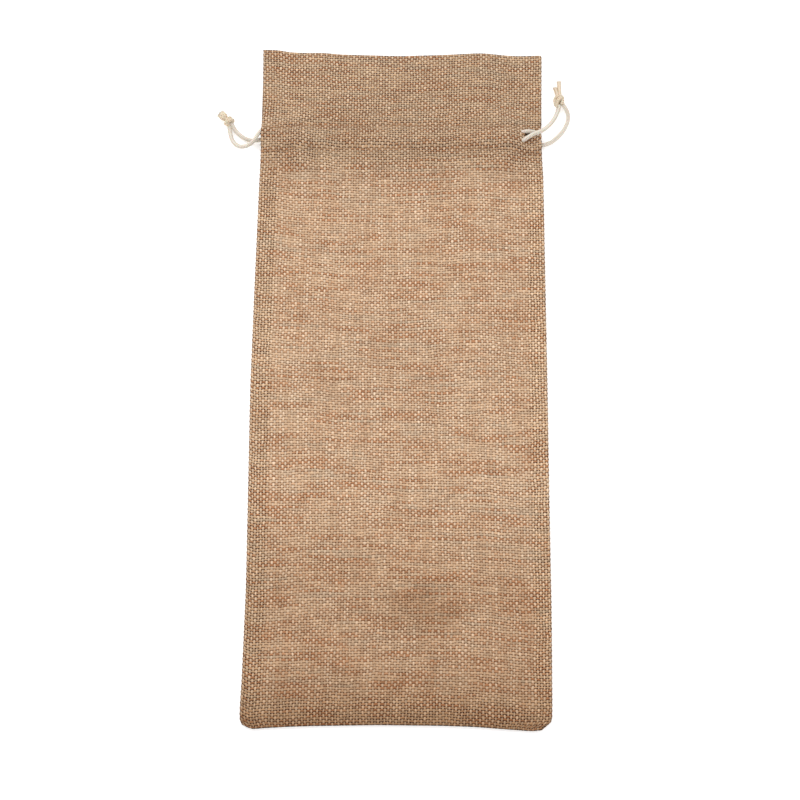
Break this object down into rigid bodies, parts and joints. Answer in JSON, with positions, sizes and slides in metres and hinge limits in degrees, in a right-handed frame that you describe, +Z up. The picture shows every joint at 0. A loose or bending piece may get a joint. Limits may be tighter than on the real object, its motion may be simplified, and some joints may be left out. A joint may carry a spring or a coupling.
{
  "type": "wine gift bag",
  "caption": "Flat-lying drawstring gift bag for a wine bottle, open plain-weave jute-look cloth with a hemmed header, a stitched casing and two knotted cords.",
  "frame": {"origin": "centre of the bag's flat outline, at the height of the underside of the back panel, on which it lies", "axes": "+Y along the bag towards its mouth, +X towards its right side seen from above, +Z up out of the front panel"},
  "size_m": [0.1829, 0.345, 0.0112],
  "materials": {
    "cloth": "matte",
    "thread": "matte",
    "cord": "matte"
  },
  "bodies": {
    "bag": {"front_panel": "cloth", "back_panel": "cloth", "left_seam_stitches": "thread", "right_seam_stitches": "thread", "bottom_seam_stitches": "thread", "front_casing_lower_stitches": "thread", "front_casing_upper_stitches": "thread", "back_casing_lower_stitches": "thread", "back_casing_upper_stitches": "thread"},
    "left_pull": {"left_drawstring": "cord", "left_drawstring_knot": "cord"},
    "right_pull": {"right_drawstring": "cord", "right_drawstring_knot": "cord"}
  },
  "joints": [
    {"name": "left_drawstring_pull", "type": "slide", "parent": "bag", "child": "left_pull", "axis": [-1, 0, 0], "range_m": [0, 0.09], "deforming": ["left_drawstring"]},
    {"name": "right_drawstring_pull", "type": "slide", "parent": "bag", "child": "right_pull", "axis": [1, 0, 0], "range_m": [0, 0.09], "deforming": ["right_drawstring"]}
  ]
}
